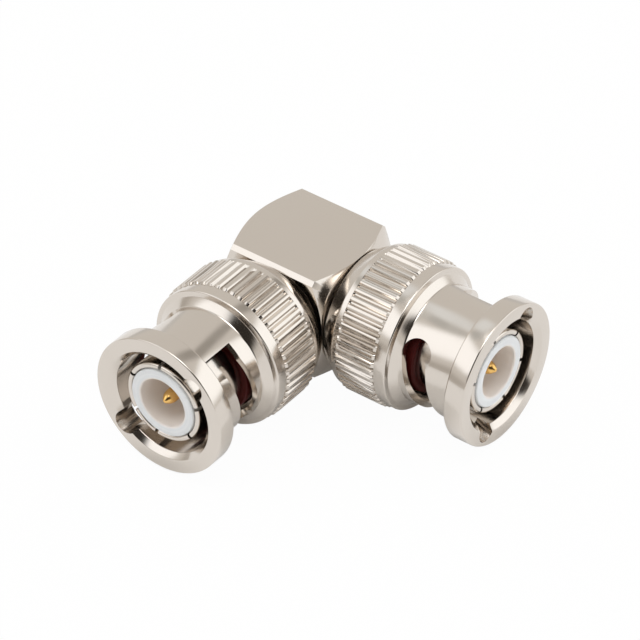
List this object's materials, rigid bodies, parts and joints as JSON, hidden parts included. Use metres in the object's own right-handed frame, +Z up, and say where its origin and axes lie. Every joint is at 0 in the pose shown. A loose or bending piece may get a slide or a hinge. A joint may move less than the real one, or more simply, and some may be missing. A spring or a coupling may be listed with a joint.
{
  "type": "right-angle coaxial adapter",
  "caption": "Right-angle coaxial adapter with a square elbow block and a bayonet plug on each leg, whose knurled coupling nuts turn and float on slotted contact sleeves.",
  "frame": {"origin": "on the surface the part lies on, under the middle of its bounding box", "axes": "+Z up, +X along the side port out of its mouth, -Y along the front port out of its mouth; the two axes cross in the block"},
  "size_m": [0.0304, 0.0304, 0.015],
  "materials": {
    "nickel_plate": "bright nickel plating on turned brass",
    "gold_plate": "bright gold plating",
    "white_ptfe": "turned white fluoropolymer",
    "red_silicone": "matt dark red silicone",
    "spring_steel": "bright spring strip"
  },
  "bodies": {
    "root": {"elbow_block": "nickel_plate", "end_cap": "nickel_plate", "front_insulator": "white_ptfe", "front_rear_bead": "white_ptfe", "front_pin": "gold_plate", "front_gasket": "red_silicone", "front_flange_washer": "spring_steel", "front_wave_washer_1": "spring_steel", "front_wave_washer_2": "spring_steel", "front_retaining_ring": "spring_steel", "front_contact_sleeve": "nickel_plate", "side_insulator": "white_ptfe", "side_rear_bead": "white_ptfe", "side_pin": "gold_plate", "side_gasket": "red_silicone", "side_flange_washer": "spring_steel", "side_wave_washer_1": "spring_steel", "side_wave_washer_2": "spring_steel", "side_retaining_ring": "spring_steel", "side_contact_sleeve": "nickel_plate"},
    "front_washer": {"front_thrust_washer": "spring_steel"},
    "front_nut": {"front_coupling_nut": "nickel_plate"},
    "side_washer": {"side_thrust_washer": "spring_steel"},
    "side_nut": {"side_coupling_nut": "nickel_plate"}
  },
  "joints": [
    {"name": "front_nut_float", "type": "slide", "parent": "root", "child": "front_washer", "axis": [0, -1, 0], "range_m": [0, 0.0009], "stiffness_N_per_m": 4000, "deforming": ["front_wave_washer_1", "front_wave_washer_2"]},
    {"name": "front_nut_turn", "type": "hinge", "parent": "front_washer", "child": "front_nut", "pos_m": [-0.00773, -0.00726, 0.0075], "axis": [0, -1, 0], "continuous": true},
    {"name": "side_nut_float", "type": "slide", "parent": "root", "child": "side_washer", "axis": [1, 0, 0], "range_m": [-0.0002, 0.0007], "stiffness_N_per_m": 4000, "deforming": ["side_wave_washer_1", "side_wave_washer_2"]},
    {"name": "side_nut_turn", "type": "hinge", "parent": "side_washer", "child": "side_nut", "pos_m": [0.00726, 0.00773, 0.0075], "axis": [1, 0, 0], "continuous": true}
  ]
}
